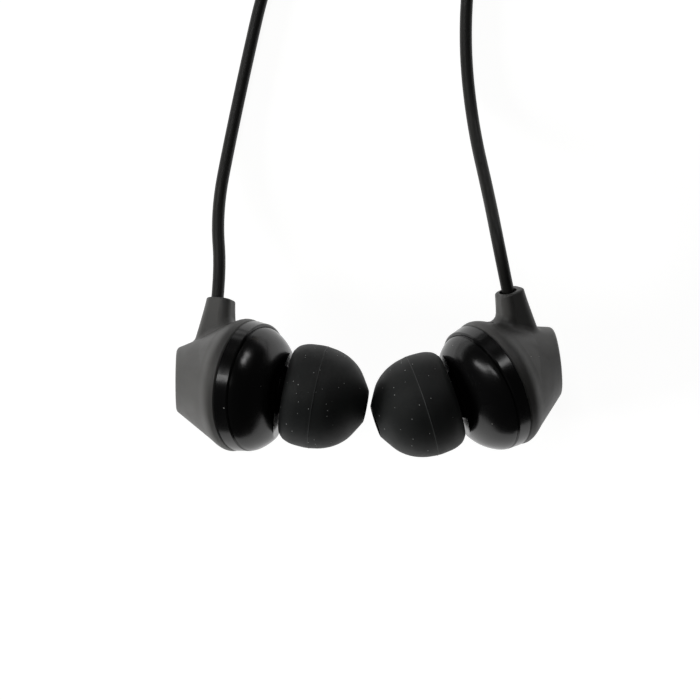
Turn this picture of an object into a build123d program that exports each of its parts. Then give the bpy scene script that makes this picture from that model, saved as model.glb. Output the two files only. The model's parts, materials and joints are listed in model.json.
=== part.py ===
from build123d import *
import os
from math import sin, cos, tan, radians, degrees, pi

# Wired in-ear earphones, lying on a table: two housings with angled nozzles
# and silicone tips, two branch cords, a splitter and a main cord with a
# 3.5 mm three-pole plug. Millimetres, +Z up, table at z = 0.

os.makedirs("parts", exist_ok=True)

# ------------------------------------------------------------ dimensions
SEAM_R = 7.38          # housing radius at the front seam
BAND_R = 7.64          # housing radius at the rear edge of the trim ring
BAND_W = 1.70          # width of the trim ring
WALL = 0.85            # shell wall
CONE_HALF = 26.0       # half angle of the rear cone
CAP_X = -11.30         # rear cap on the housing axis
CAP_NORMAL = (-0.868, -0.452, -0.20)   # the rear cap is cut obliquely
HUMP = 0.34            # the stem side of the shell stands this much prouder
STEM_LEAN = 4.0        # backward lean of the stem
STEM_FOOT = -6.77      # stem line crosses the housing axis here
STEM_END = 10.10       # length of the stem line to its end face
CORD_D = 1.5           # branch cord
MAIN_D = 1.8           # main cord
NOZ = (2.85, 1.93, 0.45)   # tip rim centre, housing coordinates
NOZ_ANGLE = 22.0       # nozzle turned away from the housing axis
BROW_ANGLE = 18.5      # oblique face of the front shell
TIP_R = 6.15           # largest tip radius
TIP_L = 9.50           # tip length
NOZ_R = 2.30           # nozzle tube radius
CORE_R = 2.52          # tip core bore over the nozzle

ORIGIN = (2.145, -2.538)   # centre of the pair's footprint in layout coordinates
# side: (sign, seam centre x, y, height, yaw, tilt, roll)
BORE_SHIFT = {"left": -0.32, "right": 0.18}   # cord bore, along the stem's section
POSE = {
    "left": (1, -10.83, -4.62, 8.266, 7.9, 26.7, -7.7),
    "right": (-1, 15.43, -5.06, 8.197, 26.6, 24.3, 22.9),
}


def place(x, y, z=0.0):
    """Layout coordinates to the part's own frame."""
    return Vector(x - ORIGIN[0], y - ORIGIN[1], z)


class Housing:
    """Axes of one housing: a to the nozzle, u to the stem, v sideways."""

    def __init__(self, side):
        s, cx, cy, h, yaw, tilt, roll = POSE[side]
        th, tl, ro = radians(yaw), radians(tilt), radians(roll)
        self.side, self.s = side, s
        self.o = place(cx, cy, h)
        a = Vector(s * cos(th) * cos(tl), -sin(th) * cos(tl), sin(tl))
        u0 = Vector(s * sin(th), cos(th), 0)
        v0 = u0.cross(a) * s
        self.a = a
        self.u = u0 * cos(ro) - v0 * sin(ro)
        self.v = v0 * cos(ro) + u0 * sin(ro)
        g = radians(NOZ_ANGLE)
        self.n = self.a * cos(g) + self.v * sin(g)
        self.stem = self.u * cos(radians(STEM_LEAN)) - self.a * sin(radians(STEM_LEAN))

    def p(self, x, y=0.0, z=0.0):
        return self.o + self.a * x + self.v * y + self.u * z

    def axial(self):
        """Sketch plane with x along the housing axis and y along the stem."""
        return Plane(origin=self.o, x_dir=self.a, z_dir=self.a.cross(self.u))

    def axis(self):
        return Axis(self.o, self.a)

    def hump_plane(self):
        """The axial plane moved towards the stem, for the fuller stem side."""
        return Plane(origin=self.p(0, 0, HUMP), x_dir=self.a, z_dir=self.a.cross(self.u))

    def hump_axis(self):
        return Axis(self.p(0, 0, HUMP), self.a)

    def nozzle_plane(self):
        """Sketch plane with x along the nozzle from the tip's rim."""
        return Plane(origin=self.p(*NOZ), x_dir=self.n, z_dir=self.n.cross(self.u))

    def nozzle_axis(self):
        return Axis(self.p(*NOZ), self.n)

    def stem_plane(self, s, fwd=0.0):
        """Sketch plane across the stem at a distance s along it."""
        x = self.a * cos(radians(STEM_LEAN)) + self.u * sin(radians(STEM_LEAN))
        return Plane(origin=self.p(STEM_FOOT) + self.stem * s + x * fwd, x_dir=x, z_dir=self.stem)

    def across(self, x):
        """Sketch plane across the housing axis at x."""
        return Plane(origin=self.p(x), x_dir=self.v, z_dir=self.a)


def save(part, name):
    part.label = name
    export_step(part, "parts/%s.step" % name)


def in_plane(edge, plane):
    """True for an edge that lies in the plane."""
    return all(abs((edge @ k - plane.origin).dot(plane.z_dir)) < 0.01 for k in (0.1, 0.35, 0.6, 0.85))


def ring_profile(x0, x1, r0, r1):
    Polygon((x0, r0), (x1, r0), (x1, r1), (x0, r1), align=None)


# ------------------------------------------------------------ housings
def make_housing(side):
    b = Housing(side)
    ax, axis = b.axial(), b.axis()
    t = tan(radians(CONE_HALF))
    r_at = lambda x: 7.36 - (-3.5 - x) * t          # straight part of the cone

    # Rear shell: cone with a leaning cap, hollow, with the cord stem.
    with BuildPart() as rear_shell:
        with BuildSketch(ax):
            with BuildLine():
                l1 = Polyline((-1.70, 0), (-1.70, BAND_R - 0.16), (-1.84, BAND_R - 0.01))
                l2 = Spline((-1.84, BAND_R - 0.01), (-2.45, 7.76), (-3.3, 7.50), (-4.4, r_at(-4.4)),
                            tangents=((-1, 0.25), (-1, -t)))
                l3 = Polyline((-4.4, r_at(-4.4)), (-15.0, r_at(-15.0)), (-15.0, 0), (-1.70, 0))
            make_face()
        revolve(axis=axis)
        with BuildSketch(b.hump_plane()):
            with BuildLine():
                Polyline((-1.70, 0), (-1.70, BAND_R - 0.16), (-1.84, BAND_R - 0.01))
                Spline((-1.84, BAND_R - 0.01), (-2.45, 7.76), (-3.3, 7.50), (-4.4, r_at(-4.4) - 0.03),
                       tangents=((-1, 0.25), (-1, -t)))
                Polyline((-4.4, r_at(-4.4) - 0.03), (-9.0, r_at(-9.0) - 0.42), (-9.0, 0), (-1.70, 0))
            make_face()
        revolve(axis=b.hump_axis())
        back = b.a * CAP_NORMAL[0] + b.v * CAP_NORMAL[1] + b.u * CAP_NORMAL[2]
        cut = Plane(origin=b.p(CAP_X), x_dir=b.u.cross(back), z_dir=back)
        with BuildSketch(cut):
            Circle(12)
        extrude(amount=9, mode=Mode.SUBTRACT)
        fillet(rear_shell.edges().filter_by(lambda e: in_plane(e, cut)), radius=0.7)
        with BuildSketch(b.stem_plane(1.2, 0.15)):
            RectangleRounded(5.3, 4.6, 1.5)
        with BuildSketch(b.stem_plane(5.2, 0.12)):
            RectangleRounded(4.5, 3.9, 1.3)
        with BuildSketch(b.stem_plane(8.0, 0.05)):
            RectangleRounded(3.7, 3.25, 1.15)
        with BuildSketch(b.stem_plane(STEM_END)):
            RectangleRounded(3.2, 2.9, 1.05)
        loft()
        rim = rear_shell.edges().filter_by(
            lambda e: (e.center() - b.p(STEM_FOOT)).dot(b.stem) > STEM_END - 0.05)
        fillet(rim, radius=0.28)
    outer = rear_shell.part
    # the foot of the stem runs out into the cone with a soft fillet
    foot = [e for e in outer.edges()
            if 4.0 < (e.center() - b.p(STEM_FOOT)).dot(b.stem) < 7.5
            and abs((e.center() - b.o).dot(b.a) - STEM_FOOT) < 3.6
            and e.length > 1.0 and e.geom_type not in (GeomType.LINE,)]
    done = False
    for rad in (1.0, 0.8, 0.5):
        try:
            with BuildPart() as faired:
                add(outer)
                fillet([e for e in faired.edges() if any((e.center() - f.center()).length < 1e-3 for f in foot)], radius=rad)
            if faired.part.is_valid:
                done = True
                break
        except Exception:
            continue
    print(side, "foot fillet", rad if done else None, "edges", len(foot))
    body = faired.part if done else outer
    with BuildPart() as rear:
        add(body)
        # hollow inside, with the lip that locates the trim ring
        with BuildSketch(ax):
            with BuildLine():
                Polyline((-1.6, 0), (-1.6, 6.10), (-2.6, 6.30), (-3.5, 6.40), (-4.4, r_at(-4.4) - 0.95),
                         (-7.9, r_at(-7.9) - 0.95), (-8.6, 2.8), (-8.6, 0), close=True)
            make_face()
        revolve(axis=axis, mode=Mode.SUBTRACT)
        with BuildSketch(ax):
            ring_profile(-1.72, -0.95, 6.12, 6.72)
        revolve(axis=axis)
        # cord bore with the grommet's seat, then the recess in the end face
        with BuildSketch(b.stem_plane(3.0, BORE_SHIFT[side])):
            Circle(0.86)
        extrude(amount=7.6, mode=Mode.SUBTRACT)
        with BuildSketch(b.stem_plane(7.8, BORE_SHIFT[side])):
            Circle(1.05)
        extrude(amount=3.0, mode=Mode.SUBTRACT)
        # rear vent: a short slot at the front foot of the stem
        vent = b.stem_plane(3.2, 3.55)
        with BuildSketch(vent):
            SlotOverall(1.05, 0.40)
        extrude(amount=5.5, mode=Mode.SUBTRACT)
    save(rear.part, side + "_rear_shell")

    # Trim ring: the glossy band between the shells, with a raised U mark.
    with BuildPart() as ring:
        with BuildSketch(ax):
            with BuildLine():
                Polyline((-BAND_W + 0.02, 6.74), (-0.02, 6.74), (-0.02, SEAM_R - 0.10), (-0.16, SEAM_R + 0.06),
                         (-BAND_W + 0.17, BAND_R - 0.02), (-BAND_W + 0.02, BAND_R - 0.17), close=True)
            make_face()
        revolve(axis=axis)
        with BuildSketch(b.hump_plane()):
            with BuildLine():
                Polyline((-BAND_W + 0.02, 7.10), (-0.02, 7.10), (-0.02, SEAM_R - 0.10), (-0.16, SEAM_R + 0.06),
                         (-BAND_W + 0.17, BAND_R - 0.02), (-BAND_W + 0.02, BAND_R - 0.17), close=True)
            make_face()
        revolve(axis=b.hump_axis())
    save(ring.part, side + "_trim_ring")

    # Front shell: shallow dome cut off obliquely round the nozzle.
    np_, nax = b.nozzle_plane(), b.nozzle_axis()
    with BuildPart() as front:
        with BuildSketch(ax):
            with BuildLine():
                Polyline((0, 0), (0, SEAM_R - 0.16), (0.14, SEAM_R - 0.02))
                Spline((0.14, SEAM_R - 0.02), (1.0, 6.88), (2.0, 5.92), (2.85, 4.3), (3.35, 0),
                       tangents=((0.9, -0.32), (0, -1)))
                Line((3.35, 0), (0, 0))
            make_face()
        revolve(axis=axis)
        g = radians(BROW_ANGLE)
        lid = Plane(origin=b.p(*NOZ) - b.n * 0.55, x_dir=b.u, z_dir=b.a * cos(g) + b.v * sin(g))
        with BuildSketch(lid):
            Circle(12)
        extrude(amount=8, mode=Mode.SUBTRACT)
        fillet(front.edges().filter_by(lambda e: in_plane(e, lid)), radius=0.5)
        # nozzle: flared root, tube and end lip
        with BuildSketch(np_):
            with BuildLine():
                Polyline((-2.6, 0), (-2.6, 3.6), (-0.75, 3.3))
                Spline((-0.75, 3.3), (-0.35, 2.75), (0.35, NOZ_R), tangents=((0.35, -1), (1, -0.05)))
                Polyline((0.35, NOZ_R), (5.4, NOZ_R), (5.6, NOZ_R + 0.12), (6.0, NOZ_R + 0.12),
                         (6.3, NOZ_R - 0.1), (6.3, 0), (-2.6, 0))
            make_face()
        revolve(axis=nax)
        with BuildSketch(ax):          # chamber
            with BuildLine():
                Polyline((-3.5, 0), (-3.5, 6.12), (0.15, 6.12), (0.95, 5.62), (1.5, 4.6), (1.5, 0), close=True)
            make_face()
        revolve(axis=axis, mode=Mode.SUBTRACT)
        with BuildSketch(np_):          # sound bore and mesh seat
            with BuildLine():
                Polyline((-2.4, 0), (-2.4, 1.55), (5.75, 1.55), (5.75, 1.85), (6.4, 1.85), (6.4, 0), close=True)
            make_face()
        revolve(axis=nax, mode=Mode.SUBTRACT)
        with BuildSketch(ax):          # spigot inside the trim ring
            ring_profile(-0.85, 0.02, 6.14, 6.72)
        revolve(axis=axis)
    save(front.part, side + "_front_shell")

    with BuildPart() as mesh:
        with BuildSketch(np_):
            ring_profile(5.77, 5.97, 0.0, 1.83)
        revolve(axis=nax)
    save(mesh.part, side + "_nozzle_mesh")

    # Ear tip: umbrella skirt on a core that slips over the nozzle.
    with BuildPart() as tip:
        with BuildSketch(np_):
            with BuildLine():
                Spline((0.06, 5.12), (0.7, 5.72), (1.6, 6.03), (3.0, TIP_R), (5.0, 5.93), (6.75, 5.22),
                       (8.2, 3.95), (9.0, 2.72), (9.40, 2.05), tangents=((0.5, 0.75), (0.45, -0.85)))
                Spline((9.40, 2.05), (TIP_L, 1.86), (9.33, 1.72), tangents=((0.45, -0.85), (-0.9, -0.2)))
                Polyline((9.33, 1.72), (6.45, 1.72), (6.45, CORE_R), (1.1, CORE_R), (0.95, CORE_R + 0.15),
                         (0.95, 3.1), (1.2, 3.25), (6.0, 3.3))
                Spline((6.0, 3.3), (6.75, 3.75), (6.3, 4.55), (5.0, 5.18), (3.0, 5.5), (1.6, 5.38), (0.7, 5.1),
                       (0.0, 4.62), tangents=((1, 0.15), (-0.7, -0.75)))
                Spline((0.0, 4.62), (-0.08, 4.86), (0.06, 5.12), tangents=((-0.7, 0.6), (0.5, 0.75)))
            make_face()
        revolve(axis=nax)
    save(tip.part, side + "_ear_tip")

    # Cord grommet in the stem's seat and the knot behind it.
    with BuildPart() as grommet:
        with BuildSketch(b.stem_plane(7.82, BORE_SHIFT[side])):
            Circle(1.04)
            Circle(CORD_D / 2 + 0.01, mode=Mode.SUBTRACT)
        extrude(amount=1.75)
    save(grommet.part, side + "_cord_grommet")
    with BuildPart() as knot:
        with BuildSketch(b.stem_plane(1.2, BORE_SHIFT[side])):
            Circle(1.0)
        extrude(amount=1.7)
        fillet(knot.edges(), radius=0.5)
    save(knot.part, side + "_cord_knot")

    # Rear vent gauze, set against the inner wall.
    with BuildPart() as gauze:
        with BuildSketch(b.stem_plane(4.85, 2.75)):
            Rectangle(1.2, 1.6)
        extrude(amount=0.3)
    save(gauze.part, side + "_vent_gauze")

    # Driver: basket, cup yoke, magnet, top plate, coil, diaphragm, surround, guard.
    def ring_part(name, *rings):
        with BuildPart() as turned:
            with BuildSketch(ax):
                for r in rings:
                    ring_profile(*r)
            revolve(axis=axis)
        save(turned.part, side + "_" + name)
        return turned.part

    ring_part("driver_basket", (-2.30, -2.00, 4.15, 6.05), (-2.02, -0.25, 5.60, 6.05))
    ring_part("driver_yoke", (-3.10, -2.70, 0.55, 4.13), (-2.72, -1.35, 3.78, 4.13))
    ring_part("driver_magnet", (-2.68, -1.72, 0.55, 3.05))
    ring_part("driver_top_plate", (-1.70, -1.36, 0.55, 3.12))
    ring_part("voice_coil", (-2.25, -1.02, 3.30, 3.55))
    with BuildPart() as cone:
        with BuildSketch(ax):
            with BuildLine():
                Spline((-0.30, 0), (-0.42, 1.6), (-1.0, 3.3), tangents=((0, 1), (-0.9, 1)))
                Spline((-1.0, 3.3), (-0.62, 4.1), (-0.78, 4.75), tangents=((0.5, 1), (-0.6, 1)))
                Line((-0.78, 4.75), (-0.90, 4.75))
                Spline((-0.90, 4.75), (-0.76, 4.1), (-1.0, 3.56), tangents=((0.3, -1), (-0.4, -1)))
                Line((-1.0, 3.56), (-1.02, 3.3))
                Spline((-1.02, 3.3), (-0.54, 1.6), (-0.42, 0), tangents=((0.9, -1), (0, -1)))
                Line((-0.42, 0), (-0.30, 0))
            make_face()
        revolve(axis=axis)
    save(cone.part, side + "_diaphragm")
    ring_part("surround", (-0.98, -0.70, 5.05, 5.58))
    with BuildPart() as guard:
        with BuildSketch(ax):
            ring_profile(0.20, 0.42, 0.0, 5.40)
        revolve(axis=axis)
        with BuildSketch(b.across(0.1)):
            Circle(0.55)
            with PolarLocations(2.2, 6):
                Circle(0.42)
            with PolarLocations(4.0, 12):
                Circle(0.42)
        extrude(amount=0.5, mode=Mode.SUBTRACT)
    save(guard.part, side + "_driver_guard")

    # Terminal board behind the yoke, its felt, and the two enamelled leads.
    with BuildPart() as board:
        with BuildSketch(b.across(-3.72)):
            Circle(3.6)
            Circle(0.5, mode=Mode.SUBTRACT)
        extrude(amount=0.6)
    save(board.part, side + "_terminal_board")
    with BuildPart() as felt:
        with BuildSketch(b.across(-4.5)):
            Circle(1.8)
        extrude(amount=0.76)
    save(felt.part, side + "_damping_felt")
    with BuildPart() as leads:
        for dy in (-0.55, 0.55):
            p0, p1 = b.p(STEM_FOOT, dy, 0) + b.stem * 1.18, b.p(-3.74, dy * 3, 2.9)
            m = b.p(-5.2, dy * 2, 1.4)
            with BuildLine() as run:
                FilletPolyline(p0, m, p1, radius=0.5)
            with BuildSketch(Plane(origin=p0, z_dir=run.line % 0)):
                Circle(0.16)
            sweep(path=run.line)
    save(leads.part, side + "_lead_wires")
    return b


left = make_housing("left")
right = make_housing("right")


# ------------------------------------------------------------ cords
def tube(name, points, dia):
    """Cord along straight runs joined by the largest tangent arcs they allow."""
    runs = [(points[i + 1] - points[i]) for i in range(len(points) - 1)]
    radii = []
    for i in range(len(runs) - 1):
        turn = radians(runs[i].get_angle(runs[i + 1]))
        radii.append(0.45 * min(runs[i].length, runs[i + 1].length) / tan(turn / 2))
    with BuildPart() as cord:
        with BuildLine() as path:
            FilletPolyline(*points, radius=radii)
        with BuildSketch(Plane(origin=points[0], z_dir=runs[0])):
            Circle(dia / 2)
        sweep(path=path.line)
    save(cord.part, name)
    length = sum(e.length for e in path.edges())
    print("%s length %.1f  volume/section*length %.4f  radii %s  runs %s" % (
        name, length, cord.part.volume / (pi * dia * dia / 4 * length),
        [round(r, 1) for r in radii], [round(r.length, 1) for r in runs]))
    return length


def coil(name, centre, mean_r, width, height, z0, dia):
    with BuildPart() as wound:
        with BuildSketch(Plane(origin=place(centre[0], centre[1], z0))):
            Circle(mean_r + width / 2)
            Circle(mean_r - width / 2, mode=Mode.SUBTRACT)
        extrude(amount=height)
        fillet(wound.edges(), radius=dia * 0.45)
    save(wound.part, name)


def tie(name, centre, angle, mean_r, width, height, z0):
    """Flat strap round the coil's section."""
    a = radians(angle)
    d = Vector(cos(a), sin(a), 0)
    side = Vector(-sin(a), cos(a), 0)
    c = place(centre[0], centre[1], z0 + height / 2) + d * mean_r
    with BuildPart() as strap:
        with BuildSketch(Plane(origin=c - side * 1.6, x_dir=d, z_dir=side)):
            RectangleRounded(width + 1.3, height + 0.56, 0.7)
            RectangleRounded(width + 0.6, height + 0.02, 0.45, mode=Mode.SUBTRACT)
        extrude(amount=3.2)
    save(strap.part, name)


Z0 = 0.28              # a coil lies on its own tie
L_COIL, R_COIL, M_COIL = (-15.5, 58.0), (6.75, 58.0), (5.5, 110.0)
B_R, B_W, B_H = 8.25, 4.5, 3.0       # branch coils: mean radius, width, height
M_R, M_W, M_H = 10.0, 5.4, 7.2       # main coil

rz = CORD_D / 2 + 0.01
line_l = left.stem_plane(0, BORE_SHIFT["left"]).origin
line_r = right.stem_plane(0, BORE_SHIFT["right"]).origin
tube("left_cord", [line_l + left.stem * 2.9, line_l + left.stem * 12.4, place(-16.2, 16.6, 1.6),
                   place(-14.45, 25.9, rz), place(-12.45, 35.2, rz), place(-10.4, 44.6, rz + 0.1),
                   place(-7.9, 52.4, 1.2), place(-7.25, 58.0, 1.4)], CORD_D)
tube("right_cord", [line_r + right.stem * 2.9, line_r + right.stem * 14.4, place(16.6, 18.3, 5.6),
                    place(14.9, 27.0, rz + 0.3), place(13.9, 36.3, rz), place(14.35, 46.0, 1.0),
                    place(14.95, 55.5, 1.4)], CORD_D)
coil("left_coil", L_COIL, B_R, B_W, B_H, Z0, CORD_D)
coil("right_coil", R_COIL, B_R, B_W, B_H, Z0, CORD_D)
coil("main_coil", M_COIL, M_R, M_W, M_H, Z0, MAIN_D)
tie("left_tie", L_COIL, 180, B_R, B_W, B_H, Z0)
tie("right_tie", R_COIL, 250, B_R, B_W, B_H, Z0)
tie("main_tie", M_COIL, 90, M_R, M_W, M_H, Z0)

# splitter: two branches in at the near end, main cord out at the far end
SPL_Y0, SPL_Y1, SPL_X = 80.0, 93.0, -4.5
tube("left_cord_tail", [place(-7.25, 58.6, 2.2), place(-7.0, 66.2, 1.9), place(SPL_X - 0.95, 73.2, 1.6),
                        place(SPL_X - 0.95, SPL_Y0, 1.6)], CORD_D)
tube("right_cord_tail", [place(10.9, 65.1, 2.2), place(3.6, 69.4, 1.9), place(SPL_X + 0.95, 74.6, 1.6),
                         place(SPL_X + 0.95, SPL_Y0, 1.6)], CORD_D)
with BuildPart() as splitter:
    for y, w, h in ((SPL_Y0, 4.6, 2.6), (SPL_Y0 + 2.2, 5.2, 3.0)):
        with BuildSketch(Plane(origin=place(SPL_X, y, 1.6), x_dir=(1, 0, 0), z_dir=(0, 1, 0))):
            RectangleRounded(w, h, 1.2)
    loft()
    for y, w, h in ((SPL_Y0 + 2.2, 5.2, 3.0), (SPL_Y0 + 7.0, 4.4, 2.9), (SPL_Y1 - 1.0, 2.9, 2.7)):
        with BuildSketch(Plane(origin=place(SPL_X, y, 1.6), x_dir=(1, 0, 0), z_dir=(0, 1, 0))):
            RectangleRounded(w, h, 1.2)
    loft()
    with BuildSketch(Plane(origin=place(SPL_X, SPL_Y1 - 1.0, 1.6), x_dir=(1, 0, 0), z_dir=(0, 1, 0))):
        Circle(1.3)
    extrude(amount=1.0)
save(splitter.part, "splitter")

tube("main_cord", [place(SPL_X, SPL_Y1, 1.6), place(SPL_X, 98.0, 1.6), place(SPL_X - 0.2, 103.4, 1.7),
                   place(SPL_X - 0.4, 109.0, 1.9)], MAIN_D)

# plug: relief, moulded grip, and the three contacts with their insulators
PLUG = Plane(origin=place(19.9, 90.5, 3.0), x_dir=(0, 0, 1), z_dir=(0.10, -0.995, 0))
plug_axis = Axis(PLUG.origin, PLUG.z_dir)
pside = Plane(origin=PLUG.origin, x_dir=PLUG.z_dir, z_dir=Vector(PLUG.z_dir).cross(Vector(0, 0, 1)))
tube("main_cord_tail", [place(15.5, 107.5, 6.2), place(16.0, 101.0, 4.6),
                        PLUG.origin - PLUG.z_dir * 5.2, PLUG.origin], MAIN_D)


def turned(name, points):
    with BuildPart() as piece:
        with BuildSketch(pside):
            with BuildLine():
                Polyline(*points, close=True)
            make_face()
        revolve(axis=plug_axis)
    save(piece.part, name)


with BuildPart() as relief:
    with BuildSketch(pside):
        with BuildLine():
            Polyline((0, 0), (0, 1.15), (0.2, 1.3), (7.8, 1.95), (8.0, 1.95), (8.0, 0), close=True)
        make_face()
    revolve(axis=plug_axis)
    for i in range(5):
        with BuildSketch(pside):
            ring_profile(1.6 + i * 1.3, 2.1 + i * 1.3, 1.15 + i * 0.1, 3.0)
        revolve(axis=plug_axis, mode=Mode.SUBTRACT)
save(relief.part, "plug_relief")
turned("plug_grip", [(8.0, 0), (8.0, 2.25), (8.4, 2.65), (9.2, 2.85), (20.0, 2.85), (21.6, 2.6), (22.0, 2.3), (22.0, 0)])
turned("plug_collar", [(22.0, 0), (22.0, 2.1), (22.6, 2.1), (22.6, 0)])
turned("plug_sleeve", [(22.6, 0), (22.6, 1.75), (28.9, 1.75), (28.9, 0)])
with BuildPart() as spacers:
    with BuildSketch(pside):
        ring_profile(28.9, 29.5, 0, 1.75)
        ring_profile(31.9, 32.5, 0, 1.75)
    revolve(axis=plug_axis)
save(spacers.part, "plug_insulators")
turned("plug_ring", [(29.5, 0), (29.5, 1.75), (31.9, 1.75), (31.9, 0)])
turned("plug_tip", [(32.5, 0), (32.5, 1.75), (33.0, 1.75), (33.7, 1.25), (34.3, 1.25), (35.2, 1.7), (36.6, 0.35), (36.6, 0)])
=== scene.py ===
import bpy, bmesh, json, math
from mathutils import Vector, Matrix


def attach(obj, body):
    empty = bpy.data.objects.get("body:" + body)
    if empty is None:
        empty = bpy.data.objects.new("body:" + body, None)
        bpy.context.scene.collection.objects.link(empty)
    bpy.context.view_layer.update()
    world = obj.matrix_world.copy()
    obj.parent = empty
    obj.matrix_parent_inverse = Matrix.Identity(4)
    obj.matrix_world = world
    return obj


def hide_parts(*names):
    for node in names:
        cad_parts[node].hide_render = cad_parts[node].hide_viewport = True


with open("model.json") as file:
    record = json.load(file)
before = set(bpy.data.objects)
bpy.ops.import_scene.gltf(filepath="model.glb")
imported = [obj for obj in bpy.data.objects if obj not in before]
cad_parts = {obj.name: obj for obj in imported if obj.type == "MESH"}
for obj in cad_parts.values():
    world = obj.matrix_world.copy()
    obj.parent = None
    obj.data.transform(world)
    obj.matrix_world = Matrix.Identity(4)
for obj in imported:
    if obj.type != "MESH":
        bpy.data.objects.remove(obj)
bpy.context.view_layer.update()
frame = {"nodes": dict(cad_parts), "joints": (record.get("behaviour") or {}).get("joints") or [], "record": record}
nodes, record = frame["nodes"], frame["record"]
scene = bpy.context.scene
MM = 0.001

# ------------------------------------------------------------------ camera
OX, OY = 2.145, -2.538            # layout origin
PLANE_Z, CAM_H = 8.2, 300.0       # housings' mid-plane, camera height above it


def P(x, y, z):
    return Vector(((x - OX) * MM, (y - OY) * MM, z * MM))


cam_data = bpy.data.cameras.new("camera")
cam_data.sensor_width = 36.0
cam_data.lens = 36.0 * CAM_H / (700.0 / 8.45)
cam_data.clip_start = 0.01
cam_data.clip_end = 10.0
cam = bpy.data.objects.new("camera", cam_data)
cam.location = P(0, 0, PLANE_Z + CAM_H)
cam.rotation_euler = (0, 0, 0)
scene.collection.objects.link(cam)
scene.camera = cam

# ------------------------------------------------------------------ housing axes
joints = {j["name"]: j for j in frame["joints"]}
NOZ, NOZ_ANGLE = (2.85, 1.93, 0.45), 22.0


class Bud:
    def __init__(self, side):
        self.side, self.s = side, (1 if side == "left" else -1)
        turn, travel = joints[side + "_tip_turn"], joints[side + "_diaphragm_travel"]
        self.N, self.n = Vector(turn["pos_m"]), Vector(turn["axis"]).normalized()
        self.a = Vector(travel["axis"]).normalized()
        g = math.radians(NOZ_ANGLE)
        self.v = ((self.n - self.a * math.cos(g)) / math.sin(g)).normalized()
        self.u = (self.a.cross(self.v) * self.s).normalized()
        self.o = self.N - (self.a * NOZ[0] + self.v * NOZ[1] + self.u * NOZ[2]) * MM
        lean = math.radians(4.0)
        self.stem = self.u * math.cos(lean) - self.a * math.sin(lean)
        self.fore = self.a * math.cos(lean) + self.u * math.sin(lean)
        self.foot = self.p(-6.77)

    def p(self, x, y=0.0, z=0.0):
        return self.o + (self.a * x + self.v * y + self.u * z) * MM

    def on_stem(self, s, fwd):
        return self.foot + (self.stem * s + self.fore * fwd) * MM


L, R = Bud("left"), Bud("right")

# ------------------------------------------------------------------ cords
CORD_D, MAIN_D, Z0 = 1.5, 1.8, 0.28


def coil_turns(centre, radii, heights, start, turns, way, per=16):
    """Points of a wound coil: one radius and height per turn, with a short shift between turns."""
    pts, total = [], int(round(turns * per))
    for i in range(total + 1):
        t = i / per
        k = min(int(t), len(radii) - 1)
        f = t - int(t)
        nxt = min(k + 1, len(radii) - 1)
        w = 0.0 if f < 0.7 else (f - 0.7) / 0.3
        w = w * w * (3 - 2 * w)
        wob = 0.05 * math.sin(2.1 * i + 0.7 * k)
        r = (radii[k] * (1 - w) + radii[nxt] * w + wob) / 0.981
        z = heights[k] * (1 - w) + heights[nxt] * w
        a = math.radians(start) + way * 2 * math.pi * t
        pts.append(P(centre[0] + r * math.cos(a), centre[1] + r * math.sin(a), z))
    return pts


def make_cord(name, pts, dia):
    cu = bpy.data.curves.new(name, "CURVE")
    cu.dimensions = "3D"
    sp = cu.splines.new("NURBS")
    sp.points.add(len(pts) - 1)
    for q, p in zip(sp.points, pts):
        q.co = (p.x, p.y, p.z, 1.0)
        q.radius = dia / 2 * MM
    sp.order_u = 3
    sp.use_endpoint_u = True
    sp.resolution_u = 8
    cu.bevel_depth = 1.0
    cu.bevel_resolution = 7
    cu.use_fill_caps = True
    o = bpy.data.objects.new(name, cu)
    scene.collection.objects.link(o)
    return o


lo, hi = Z0 + 0.75, Z0 + 2.25
b_radii = [9.75, 8.25, 6.75, 6.75, 8.25, 9.75, 9.75]
b_heights = [lo, lo, lo, hi, hi, hi, hi]
left_pts = (
    [L.on_stem(2.9, -0.32), L.on_stem(12.4, -0.32), P(-16.2, 16.6, 1.6), P(-14.45, 25.9, 0.76),
     P(-12.45, 35.2, 0.76), P(-10.4, 44.2, 0.80), P(-7.9, 50.2, 0.92)]
    + coil_turns((-15.5, 58.0), b_radii, b_heights, -20, 6 + 20 / 360, 1)
    + [P(-6.1, 63.0, 2.3), P(-6.2, 68.0, 1.8), P(-5.45, 73.4, 1.6), P(-5.45, 80.0, 1.6)]
)
right_pts = (
    [R.on_stem(2.9, 0.18), R.on_stem(14.4, 0.18), P(16.6, 18.3, 5.6), P(14.9, 27.0, 1.06),
     P(13.9, 36.3, 0.76), P(14.3, 45.6, 0.80), P(15.4, 51.0, 0.92)]
    + coil_turns((6.75, 58.0), b_radii, b_heights, -16, 6 + 76 / 360, 1)
    + [P(6.6, 69.0, 2.2), P(0.6, 71.6, 1.8), P(-3.55, 74.6, 1.6), P(-3.55, 80.0, 1.6)]
)
m_r = [11.8, 10.0, 8.2, 8.2, 10.0, 11.8, 11.8, 10.0, 8.2, 8.2, 10.0, 11.8, 11.8]
m_z = [Z0 + 0.9] * 3 + [Z0 + 2.7] * 3 + [Z0 + 4.5] * 3 + [Z0 + 6.3] * 4
main_pts = (
    [P(-4.5, 93.0, 1.6), P(-4.5, 98.0, 1.6), P(-5.3, 102.2, 1.3)]
    + coil_turns((5.5, 110.0), m_r, m_z, 200, 11 + 200 / 360, -1)
)
plug_dir = Vector((0.10, -0.995, 0)).normalized()
plug_o = P(19.9, 90.5, 3.0)
main_pts += [P(17.6, 104.6, 6.0), P(17.9, 99.6, 4.6), plug_o - plug_dir * 5.2 * MM, plug_o]

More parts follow.
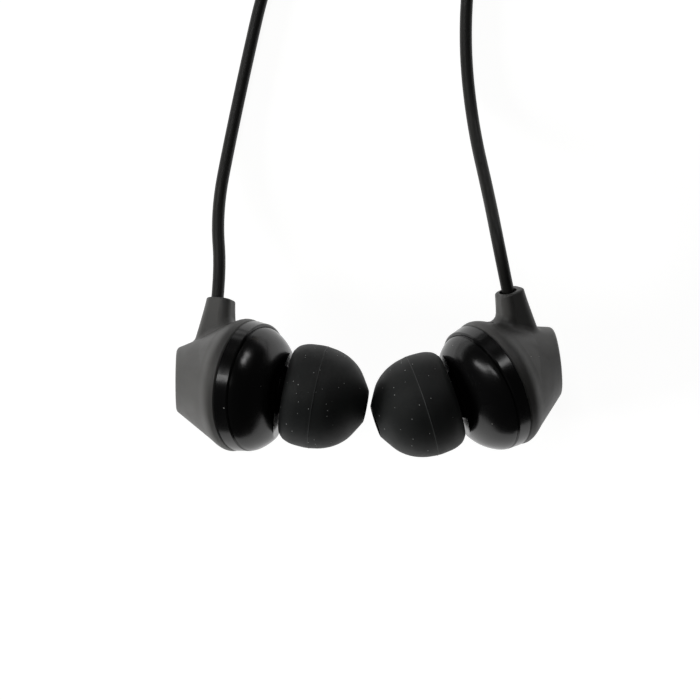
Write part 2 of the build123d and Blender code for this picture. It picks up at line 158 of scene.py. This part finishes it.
left_cord = make_cord("left_cord_line", left_pts, CORD_D)
right_cord = make_cord("right_cord_line", right_pts, CORD_D)
main_cord = make_cord("main_cord_line", main_pts, MAIN_D)
for o, side in ((left_cord, "left"), (right_cord, "right")):
    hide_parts(side + "_cord", side + "_coil", side + "_cord_tail")
    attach(o, "earphones")
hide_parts("main_cord", "main_coil", "main_cord_tail")
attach(main_cord, "earphones")
L.on_stem(10.1, -0.32)
R.on_stem(10.1, 0.18)


# ------------------------------------------------------------------ materials
def new_mat(name):
    m = bpy.data.materials.new(name)
    m.use_nodes = True
    nt = m.node_tree
    b = nt.nodes["Principled BSDF"]
    tc = nt.nodes.new("ShaderNodeTexCoord")
    return m, nt, b, tc


def noise(nt, tc, scale, detail=4.0, rough=0.55, stretch=None):
    n = nt.nodes.new("ShaderNodeTexNoise")
    n.inputs["Scale"].default_value = scale
    n.inputs["Detail"].default_value = detail
    n.inputs["Roughness"].default_value = rough
    if stretch:
        mp = nt.nodes.new("ShaderNodeMapping")
        mp.inputs["Scale"].default_value = stretch
        nt.links.new(tc.outputs["Object"], mp.inputs["Vector"])
        nt.links.new(mp.outputs["Vector"], n.inputs["Vector"])
    else:
        nt.links.new(tc.outputs["Object"], n.inputs["Vector"])
    return n.outputs["Fac"]


def ramp(nt, fac, lo_, hi_, c0, c1):
    r = nt.nodes.new("ShaderNodeMapRange")
    r.inputs["From Min"].default_value = lo_
    r.inputs["From Max"].default_value = hi_
    r.inputs["To Min"].default_value = c0
    r.inputs["To Max"].default_value = c1
    nt.links.new(fac, r.inputs["Value"])
    return r.outputs["Result"]


def mix(nt, fac, a, b):
    m = nt.nodes.new("ShaderNodeMix")
    m.data_type = "RGBA"
    for k, c in ((6, a), (7, b)):
        if isinstance(c, tuple):
            m.inputs[k].default_value = (*c, 1)
        else:
            nt.links.new(c, m.inputs[k])
    nt.links.new(fac, m.inputs[0])
    return m.outputs[2]


def bump(nt, b, height, dist, strength=1.0, prev=None):
    n = nt.nodes.new("ShaderNodeBump")
    n.inputs["Distance"].default_value = dist
    n.inputs["Strength"].default_value = strength
    nt.links.new(height, n.inputs["Height"])
    if prev is not None:
        nt.links.new(prev, n.inputs["Normal"])
    nt.links.new(n.outputs["Normal"], b.inputs["Normal"])
    return n.outputs["Normal"]


def specks(nt, tc, scale, size, share):
    """Sparse dust: small dots in some cells of a Voronoi pattern."""
    v = nt.nodes.new("ShaderNodeTexVoronoi")
    v.inputs["Scale"].default_value = scale
    nt.links.new(tc.outputs["Object"], v.inputs["Vector"])
    dot = ramp(nt, v.outputs["Distance"], size * 0.6, size, 1.0, 0.0)
    sep = nt.nodes.new("ShaderNodeSeparateColor")
    nt.links.new(v.outputs["Color"], sep.inputs["Color"])
    pick = ramp(nt, sep.outputs["Red"], 1 - share, 1 - share + 0.01, 0.0, 1.0)
    mul = nt.nodes.new("ShaderNodeMath")
    mul.operation = "MULTIPLY"
    nt.links.new(dot, mul.inputs[0])
    nt.links.new(pick, mul.inputs[1])
    return mul.outputs[0]


def plastic(name, dark, light, rough, grain, grain_d, dust=None, coat=0.0, coat_rough=0.1, wave=None,
            spec=0.5, metallic=0.0, dust_color=(0.32, 0.32, 0.30), patch=160.0, stretch=None, parting=None):
    m, nt, b, tc = new_mat(name)
    col = mix(nt, ramp(nt, noise(nt, tc, patch, 3.0), 0.3, 0.7, 0.0, 1.0), dark, light)
    if dust:
        col = mix(nt, specks(nt, tc, *dust), col, dust_color)
    if parting:
        at = nt.nodes.new("ShaderNodeAttribute")
        at.attribute_name = "parting_line"
        mul = nt.nodes.new("ShaderNodeMath")
        mul.operation = "MULTIPLY"
        nt.links.new(at.outputs["Fac"], mul.inputs[0])
        nt.links.new(ramp(nt, noise(nt, tc, 300.0, 3.0), 0.35, 0.65, 0.35, 1.0), mul.inputs[1])
        col = mix(nt, mul.outputs[0], col, parting)
    nt.links.new(col, b.inputs["Base Color"])
    nt.links.new(ramp(nt, noise(nt, tc, 420.0, 5.0), 0.3, 0.7, rough[0], rough[1]), b.inputs["Roughness"])
    b.inputs["Metallic"].default_value = metallic
    b.inputs["Specular IOR Level"].default_value = spec
    b.inputs["Coat Weight"].default_value = coat
    b.inputs["Coat Roughness"].default_value = coat_rough
    nrm = bump(nt, b, noise(nt, tc, grain, 3.0, stretch=stretch), grain_d * MM)
    if wave:
        bump(nt, b, noise(nt, tc, wave[0], 2.0), wave[1] * MM, prev=nrm)
    return m


MATTE = plastic("shell_matte", (0.056, 0.055, 0.053), (0.068, 0.067, 0.064), (0.44, 0.54), 9000.0, 0.006,
                dust=(1000.0, 0.07, 0.10), wave=(260.0, 0.004), spec=0.4)
GLOSS = plastic("shell_gloss", (0.0018, 0.0018, 0.0019), (0.0028, 0.0028, 0.0029), (0.17, 0.24), 5200.0, 0.0012,
                dust=(900.0, 0.07, 0.25), wave=(420.0, 0.003), spec=0.45)
SILICONE = plastic("silicone", (0.0095, 0.0105, 0.0105), (0.0155, 0.0165, 0.016), (0.55, 0.66), 3800.0, 0.008,
                   dust=(1500.0, 0.10, 0.6), wave=(330.0, 0.010), spec=0.3, dust_color=(0.34, 0.35, 0.34),
                   patch=240.0, parting=(0.06, 0.063, 0.063))
CORD = plastic("cord_jacket", (0.0075, 0.0073, 0.0066), (0.011, 0.0106, 0.0098), (0.42, 0.54), 7000.0, 0.004,
               dust=(600.0, 0.05, 0.05), wave=(700.0, 0.010), spec=0.35)
GROMMET = plastic("grommet_rubber", (0.016, 0.016, 0.016), (0.024, 0.024, 0.024), (0.55, 0.65), 6000.0, 0.006)
MOULDED = plastic("moulded_rubber", (0.020, 0.020, 0.020), (0.030, 0.029, 0.029), (0.42, 0.55), 8000.0, 0.006,
                  wave=(300.0, 0.008))
GOLD = plastic("plug_plate", (0.80, 0.58, 0.22), (0.88, 0.66, 0.28), (0.16, 0.26), 5000.0, 0.0012, metallic=1.0)
INSULATOR = plastic("insulator", (0.012, 0.012, 0.012), (0.02, 0.02, 0.02), (0.35, 0.45), 6000.0, 0.003)
STEEL = plastic("driver_steel", (0.52, 0.52, 0.54), (0.62, 0.62, 0.64), (0.26, 0.38), 5200.0, 0.002, metallic=1.0)
NICKEL = plastic("magnet_nickel", (0.62, 0.61, 0.58), (0.70, 0.69, 0.66), (0.14, 0.22), 5200.0, 0.001, metallic=1.0)
COPPER = plastic("copper", (0.62, 0.28, 0.14), (0.72, 0.36, 0.20), (0.25, 0.35), 5200.0, 0.004, metallic=1.0,
                 stretch=(1, 1, 1))
BASKET = plastic("basket_polymer", (0.66, 0.66, 0.63), (0.72, 0.72, 0.69), (0.45, 0.55), 6000.0, 0.004)
BOARD = plastic("board", (0.030, 0.16, 0.07), (0.045, 0.21, 0.09), (0.25, 0.35), 3000.0, 0.004)
FELT = plastic("felt", (0.30, 0.30, 0.30), (0.42, 0.42, 0.42), (0.85, 0.95), 2600.0, 0.06)
FILM = plastic("diaphragm_film", (0.50, 0.48, 0.42), (0.58, 0.56, 0.50), (0.18, 0.28), 2600.0, 0.004)


def woven(name, c0, c1, pitch, metallic, depth):
    """Plain weave of two crossing thread sets."""
    m, nt, b, tc = new_mat(name)
    hs = []
    for axis in ("X", "Y"):
        w = nt.nodes.new("ShaderNodeTexWave")
        w.wave_type, w.bands_direction, w.wave_profile = "BANDS", axis, "SIN"
        w.inputs["Scale"].default_value = pitch
        nt.links.new(tc.outputs["Object"], w.inputs["Vector"])
        hs.append(w.outputs["Fac"])
    mx = nt.nodes.new("ShaderNodeMath")
    mx.operation = "MAXIMUM"
    nt.links.new(hs[0], mx.inputs[0])
    nt.links.new(hs[1], mx.inputs[1])
    nt.links.new(mix(nt, mx.outputs[0], c0, c1), b.inputs["Base Color"])
    nt.links.new(ramp(nt, noise(nt, tc, 900.0), 0.3, 0.7, 0.5, 0.7), b.inputs["Roughness"])
    b.inputs["Metallic"].default_value = metallic
    bump(nt, b, mx.outputs[0], depth * MM)
    return m


GAUZE = woven("mesh_steel", (0.03, 0.03, 0.03), (0.40, 0.40, 0.41), 1600.0, 0.8, 0.03)
STRAP = woven("tie_strap", (0.010, 0.010, 0.010), (0.035, 0.035, 0.035), 700.0, 0.0, 0.05)

SLOTS = {"shell_matte": MATTE, "shell_gloss": GLOSS, "mesh_steel": GAUZE, "silicone": SILICONE,
         "grommet_rubber": GROMMET, "cord_jacket": CORD, "tie_strap": STRAP, "moulded_rubber": MOULDED,
         "plug_plate": GOLD, "insulator": INSULATOR, "basket_polymer": BASKET, "driver_steel": STEEL,
         "magnet_nickel": NICKEL, "copper": COPPER, "diaphragm_film": FILM, "board": BOARD, "felt": FELT}
slot_of = {s["node"]: s["material_slot"] for s in record["subparts"]}
for name, o in nodes.items():
    m = SLOTS[slot_of[name]]
    if not o.material_slots:
        o.data.materials.append(m)
    for sl in o.material_slots:
        sl.material = m
for c in (left_cord, right_cord, main_cord):
    c.data.materials.append(CORD)


# ------------------------------------------------------------------ ear tips
def smooth_run(pts, n=6):
    """Catmull-Rom samples through a profile's points."""
    out = []
    q = [pts[0]] + list(pts) + [pts[-1]]
    for i in range(1, len(q) - 2):
        for k in range(n):
            t = k / n
            out.append(tuple(0.5 * ((2 * q[i][d]) + (-q[i - 1][d] + q[i + 1][d]) * t
                                    + (2 * q[i - 1][d] - 5 * q[i][d] + 4 * q[i + 1][d] - q[i + 2][d]) * t * t
                                    + (-q[i - 1][d] + 3 * q[i][d] - 3 * q[i + 1][d] + q[i + 2][d]) * t ** 3)
                             for d in (0, 1)))
    return out + [pts[-1]]


def lathe(name, origin, axis, ref, profile, seg=160, closed=True):
    """Mesh turned about an axis from (along, radius) pairs in millimetres."""
    x = axis.normalized()
    y = (ref - x * ref.dot(x)).normalized()
    z = x.cross(y)
    bm = bmesh.new()
    rings = []
    for s, r in profile:
        rings.append([bm.verts.new(origin + (x * s + y * r * math.cos(2 * math.pi * k / seg)
                                             + z * r * math.sin(2 * math.pi * k / seg)) * MM) for k in range(seg)])
    n = len(rings)
    for i in range(n if closed else n - 1):
        a, b = rings[i], rings[(i + 1) % n]
        for k in range(seg):
            bm.faces.new((a[k], a[(k + 1) % seg], b[(k + 1) % seg], b[k]))
    bmesh.ops.recalc_face_normals(bm, faces=bm.faces)
    me = bpy.data.meshes.new(name)
    bm.to_mesh(me)
    bm.free()
    line = me.attributes.new("parting_line", "FLOAT", "POINT")
    for i, (s, r) in enumerate(profile):
        if 3.705 < s < 3.795 and r > 6:
            for k in range(seg):
                line.data[i * seg + k].value = 1.0
    for f in me.polygons:
        f.use_smooth = True
    o = bpy.data.objects.new(name, me)
    scene.collection.objects.link(o)
    return o


outer = smooth_run([(0.06, 5.12), (0.30, 5.42), (0.7, 5.72), (1.6, 6.03), (3.0, 6.15), (3.66, 6.137)])
seam = [(3.70, 6.149), (3.71, 6.15), (3.79, 6.148), (3.80, 6.128)]
nose = smooth_run([(3.84, 6.12), (5.0, 5.93), (6.0, 5.60), (6.75, 5.22), (7.5, 4.68), (8.2, 3.95), (9.0, 2.72),
                   (9.38, 2.08), (9.47, 1.92), (9.46, 1.80), (9.33, 1.72)])
bore = [(9.0, 1.72), (6.50, 1.72), (6.45, 1.76), (6.45, 2.48), (6.40, 2.52), (1.1, 2.52), (0.97, 2.65), (0.95, 2.72),
        (0.95, 3.04), (1.0, 3.14)]
inner = smooth_run([(1.2, 3.25), (3.0, 3.27), (6.0, 3.3), (6.6, 3.45), (6.78, 3.85), (6.3, 4.55), (5.0, 5.18),
                    (3.0, 5.5), (1.6, 5.38), (0.7, 5.1), (0.05, 4.66), (-0.05, 4.72), (-0.07, 4.86), (-0.02, 5.02)])
TIP_PROFILE = outer + seam + nose + bore + inner
for b in (L, R):
    tip = lathe(b.side + "_silicone_tip", b.N, b.n, b.u, TIP_PROFILE)
    tip.data.materials.append(SILICONE)
    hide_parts(b.side + "_ear_tip")
    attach(tip, b.side + "_tip")

# ------------------------------------------------------------------ stage and light
me = bpy.data.meshes.new("table")
me.from_pydata([(-0.13, -0.09, 0), (0.13, -0.09, 0), (0.13, 0.20, 0), (-0.13, 0.20, 0)], [], [(0, 1, 2, 3)])
table = bpy.data.objects.new("table", me)
scene.collection.objects.link(table)
tm, nt, b_, tc = new_mat("table_white")
white = mix(nt, noise(nt, tc, 40.0), (0.93, 0.93, 0.925), (0.97, 0.97, 0.97))
nt.links.new(white, b_.inputs["Emission Color"])
b_.inputs["Emission Strength"].default_value = 1.0
b_.inputs["Base Color"].default_value = (0.20, 0.20, 0.20, 1)
b_.inputs["Roughness"].default_value = 0.7
b_.inputs["Specular IOR Level"].default_value = 0.1
me.materials.append(tm)

world = bpy.data.worlds.new("studio")
scene.world = world
world.use_nodes = True
bg = world.node_tree.nodes["Background"]
bg.inputs["Color"].default_value = (1.0, 1.0, 1.0, 1)
bg.inputs["Strength"].default_value = 0.03


def area(name, loc, target, size, power):
    d = bpy.data.lights.new(name, "AREA")
    d.shape, d.size, d.size_y, d.energy = "RECTANGLE", size[0], size[1], power
    o = bpy.data.objects.new(name, d)
    o.location = loc
    o.rotation_euler = (Vector(target) - Vector(loc)).to_track_quat("-Z", "Y").to_euler()
    scene.collection.objects.link(o)
    return o


def aimed(name, az, el, dist, size, power):
    """A light at a compass direction and height angle, turned to the earphones."""
    a, e = math.radians(az), math.radians(el)
    return area(name, (dist * math.cos(a) * math.cos(e), dist * math.sin(a) * math.cos(e), dist * math.sin(e)),
                (0, 0, 0.008), size, power)


aimed("key", 190, 15, 0.60, (0.22, 0.16), 3.6).visible_glossy = False
aimed("top_soft", 108, 48, 0.60, (0.20, 0.20), 0.55).visible_glossy = False
for g in (aimed("glint_a", 60, 38, 0.60, (0.09, 0.22), 0.40), aimed("glint_b", 158, 40, 0.60, (0.07, 0.28), 0.42),
          aimed("glint_c", 146, 62, 0.60, (0.06, 0.22), 0.22), aimed("glint_d", 100, 27, 0.60, (0.10, 0.10), 0.22)):
    g.visible_diffuse = False
scene.view_settings.view_transform = "Standard"
scene.view_settings.look = "None"

bpy.context.view_layer.update()
